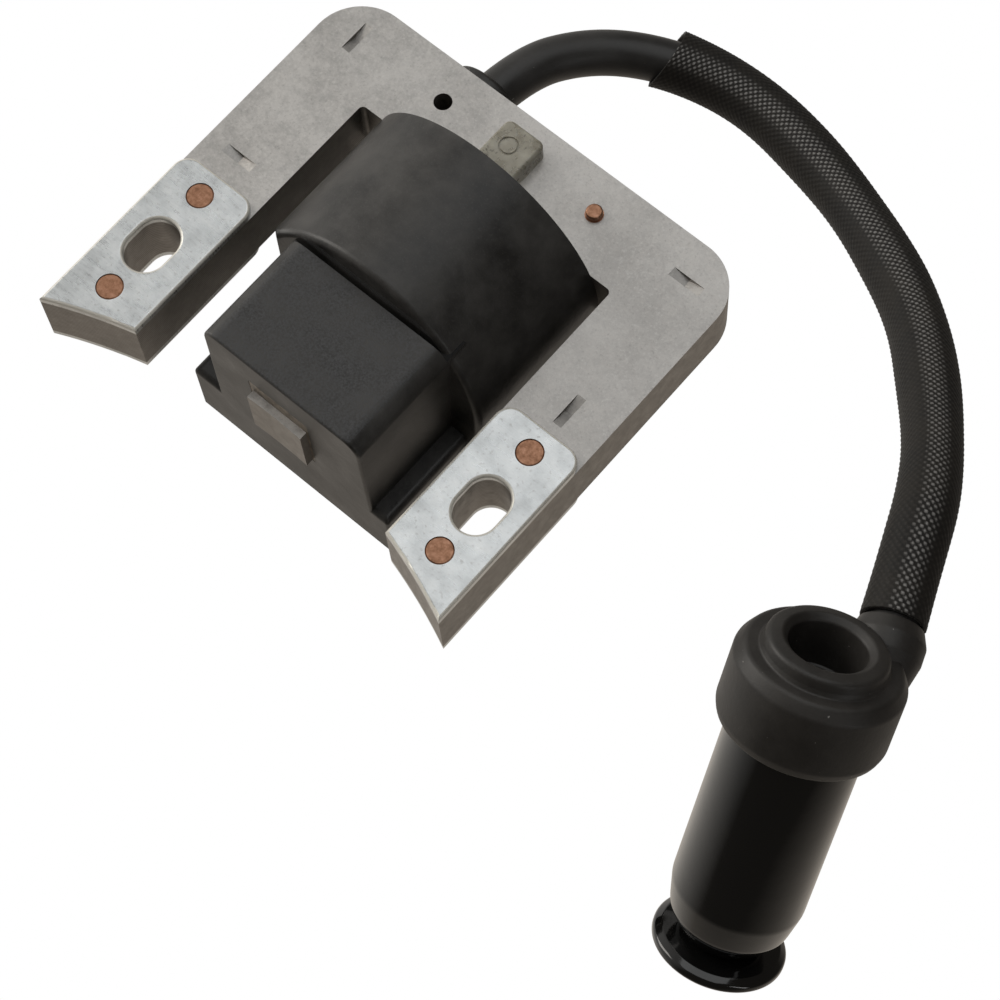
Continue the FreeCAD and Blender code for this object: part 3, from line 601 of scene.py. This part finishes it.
# a round tube on a path, closed at both ends: point = path + radius around the path's frame
def tubeMesh(name, path, radius, columns=48):
    along, side, up = pathFrames(path)
    angle = np.linspace(0, 2 * math.pi, columns, endpoint=False)
    ring = np.cos(angle)[None, :, None] * side[:, None] + np.sin(angle)[None, :, None] * up[:, None]
    sizes = np.full(len(path), radius)
    path = np.vstack([path[:1], path, path[-1:]])
    ring = np.vstack([ring[:1], ring, ring[-1:]])
    sizes = np.concatenate([[1e-6], sizes, [1e-6]])
    return gridMesh(name, path[:, None] + ring * sizes[:, None, None])


def makeLead(path):
    piece = tubeMesh("high_tension_lead", path, lead["radius"] * mm)
    return own(piece, "coil", "lead_rubber", "ht_lead", "lead_conductor")


sleeve = {
    "start": 37.5,        # along the lead, from its first point
    "short": 6.3,         # how far before the lead's end it stops
    "radius": 4.32,
    "wall": 0.55,
    "flare": 0.35,        # extra radius at the open end
    "flareLength": 6.0,
    "lean": 0.55,         # how far the open end lifts off the lead's line
    "leanLength": 9.0,
    "leanSide": (0.15, 0.62, 0.77),
    "slant": 1.9,         # how far the open end's top lies behind its middle
    "slantSide": (0.2, 0.75, 0.63),
    "waves": ((0.10, 9.0, 0.0), (0.07, 4.1, 1.0)),     # slack: height, length and start of each wave
    "yarns": 26,          # bundles each way round
    "pitch": 1.05,        # length of one crossing
    "relief": 0.12,
    "rows": 640,
    "columnsPerYarn": 5,
    "innerRows": 70,
    "sheenSide": (0.22, -0.20, 0.955),     # the way the painted sheen strip faces
    "sheenWidth": (0.90, 0.995),           # its edge and its middle, as cosines
    "sheenCrown": (0.60, 0.97),            # how high a crossing is where the painted sheen starts and is full
}


# 0 at the first limit, 1 at the second, straight between them
def rise(values, low, high):
    return np.clip((values - low) / (high - low), 0, 1)


# braid: two families of spiral yarns, as sines of (angle + way along) and (angle - way along);
# a crossing's crown is the product of the two, which lifts the surface there
def makeSleeve(path, length):
    s = sleeve
    rows, columns = s["rows"], s["yarns"] * s["columnsPerYarn"]
    step = length / (len(path) - 1)
    first = int(s["start"] * mm / step)
    last = int((length - s["short"] * mm) / step)
    along, side, up = pathFrames(path)
    grid = np.linspace(first, last, rows)
    whole = np.arange(len(path))

    def at(values, where):
        return np.stack([np.interp(where, whole, values[:, k]) for k in range(3)], axis=-1)

    gone = (grid - first) * step
    angle = np.linspace(0, 2 * math.pi, columns, endpoint=False)
    lean = s["lean"] * mm * np.exp(-gone / (s["leanLength"] * mm))
    flare = s["flare"] * mm * np.exp(-gone / (s["flareLength"] * mm))
    slack = sum(height * mm * np.sin(gone / (reach * mm) + start) for height, reach, start in s["waves"])
    outside = s["radius"] * mm + flare + slack
    centre = at(path, grid) + np.array(s["leanSide"]) * lean[:, None]
    sideways, upwards = at(side, grid), at(up, grid)

    around = angle[None, :] * s["yarns"] / (2 * math.pi)
    onward = gone[:, None] / (s["pitch"] * mm)
    left = np.sin(math.pi * (around + onward))
    right = np.sin(math.pi * (around - onward))
    crown = np.maximum(np.abs(left), np.abs(right)) * 0.2 + np.abs(left * right) * 0.8
    ridge = (crown - 0.5) * s["relief"] * mm
    radius = outside[:, None] + ridge
    ring = np.cos(angle)[None, :, None] * sideways[:, None] + np.sin(angle)[None, :, None] * upwards[:, None]
    slant = s["slant"] * mm * np.exp(-gone / (s["leanLength"] * mm))
    cut = at(along, grid)[:, None] * ((ring @ np.array(s["slantSide"])) * slant[:, None])[:, :, None]
    outer = centre[:, None] + ring * radius[:, :, None] + cut

    back = np.linspace(rows - 1, 0, s["innerRows"]).astype(int)
    insideRadius = outside[back, None, None] - s["wall"] * mm
    inner = centre[back, None] + ring[back] * insideRadius + cut[back]
    piece = gridMesh("braided_cover", np.vstack([outer, inner]), closeRows=True)

    # painted sheen: crowns on the sleeve's upper side get a pale strip, stored in the "wear" layer
    upper = ring @ np.array(s["sheenSide"])
    upper = upper / upper.max(axis=1, keepdims=True)
    paintedSheen = rise(upper, *s["sheenWidth"]) * rise(crown, *s["sheenCrown"])
    insidePoints = inner.shape[0] * columns
    for layerName, values, insideValue in (("crown", crown, 0.3), ("wear", paintedSheen, 0.0)):
        layer = piece.data.attributes.new(layerName, "FLOAT", "POINT")
        every = np.concatenate([values.ravel(), np.full(insidePoints, insideValue)])
        layer.data.foreach_set("value", every.astype(np.float32))
    return own(piece, "coil", "sleeve_braid", "braided_sleeve")


# each outline is a list of (radius, height, corner radius), from the axis outwards and round
boot = {
    "knobPlace": (91.34, -39.70, 5.52),
    "axis": (-0.157, 0.577, 0.802),
    "socket": (86.15, 0.35, 38.47),
    "socketAxis": (0.387, -0.922, 0.0),
    "knob": [
        (0, 1.2, 0), (3.5, 1.15, 3), (7.6, 0.25, 1.5), (8.7, 0.0, 0.6), (9.25, 0.55, 0.55), (9.25, 1.5, 0.7),
        (8.2, 2.15, 0.8), (4.9, 2.7, 1.2), (4.2, 3.4, 0.5), (4.2, 6, 0), (0, 6, 0)],
    "barrel": [
        (0, 3.2, 0), (4.6, 3.2, 0.2), (6.3, 3.6, 1.2), (8.3, 6.6, 3.5), (9.15, 11.0, 5), (9.15, 24, 0),
        (9.15, 38.9, 0.1), (7.4, 38.9, 0.1), (7.4, 40.6, 0.1), (4.9, 40.6, 0.2), (4.9, 20, 0.4), (0, 20, 0)],
    "collar": [
        (8.9, 42, 0), (8.9, 39.4, 0.3), (9.4, 38.9, 0.3), (10.9, 38.9, 1.0), (11.4, 40.4, 1.5),
        (11.4, 48.4, 1.3), (10.3, 50.2, 0.9), (8.5, 50.2, 0.35), (8.25, 50.9, 0.5), (8.0, 52.3, 0.8),
        (6.1, 52.6, 0.6), (5.23, 51.8, 0.6), (5.23, 45.2, 0.15), (4.9, 45.0, 0.1), (4.9, 42, 0),
        (8.9, 42, 0)],
    "lug": [
        (3.58, 7, 0), (3.58, 0.3, 0.1), (3.75, 0, 0.15), (4.3, 0.1, 0.4), (5.1, 2.2, 1.2), (5.0, 4.5, 1.5),
        (3.9, 8.5, 1.5), (2.4, 10, 0.8), (0, 10, 0)],
}


def outlineInMetres(corners):
    return roundOutline([(x * mm, z * mm, r * mm) for x, z, r in corners])


def bootTurned(name, corners, slotName, *replaced):
    piece = turnedPiece(name, outlineInMetres(corners), np.array(boot["knobPlace"]) * mm, boot["axis"])
    return own(piece, "plug_boot", slotName, *replaced)


def makeBoot():
    knob = bootTurned("knob_disc", boot["knob"], "handle_plastic", "handle_knob")
    handle = bootTurned("handle_barrel", boot["barrel"], "handle_plastic", "pull_handle")
    collar = bootTurned("rubber_collar", boot["collar"], "boot_rubber", "boot_collar")
    socket = np.array(boot["socket"]) * mm
    lug = turnedPiece("rubber_lug", outlineInMetres(boot["lug"]), socket, boot["socketAxis"], 64)
    own(lug, "plug_boot", "boot_rubber")
    return [knob, handle, collar, lug]


grommet = {
    "place": (-16.1, 33.3, 9.2),
    "axis": (0, 1, 0),
    "outline": [
        (3.58, 0.05, 0), (4.55, 0.05, 0.1), (4.6, 0.65, 0.1), (6.0, 0.65, 0.3), (6.2, 1.4, 0.5),
        (6.2, 4.5, 0.8), (4.6, 5.2, 0.6), (3.9, 5.22, 0.2), (3.58, 5.15, 0)],
}


def makeGrommet():
    place = np.array(grommet["place"]) * mm
    ring = turnedPiece("lead_ring", outlineInMetres(grommet["outline"]), place, grommet["axis"], 72)
    return own(ring, "coil", "lead_rubber", "lead_grommet")


placeCamera()
placeStudio()
finishCadNodes()
path, pathLength = readPath(leadCurve(), lead["step"] * mm)
print("lead length", round(pathLength / mm, 1), "mm")
leadPiece = makeLead(path)
sleevePiece = makeSleeve(path, pathLength)
bootPieces = makeBoot()
grommetPiece = makeGrommet()
print("lead and boot made")
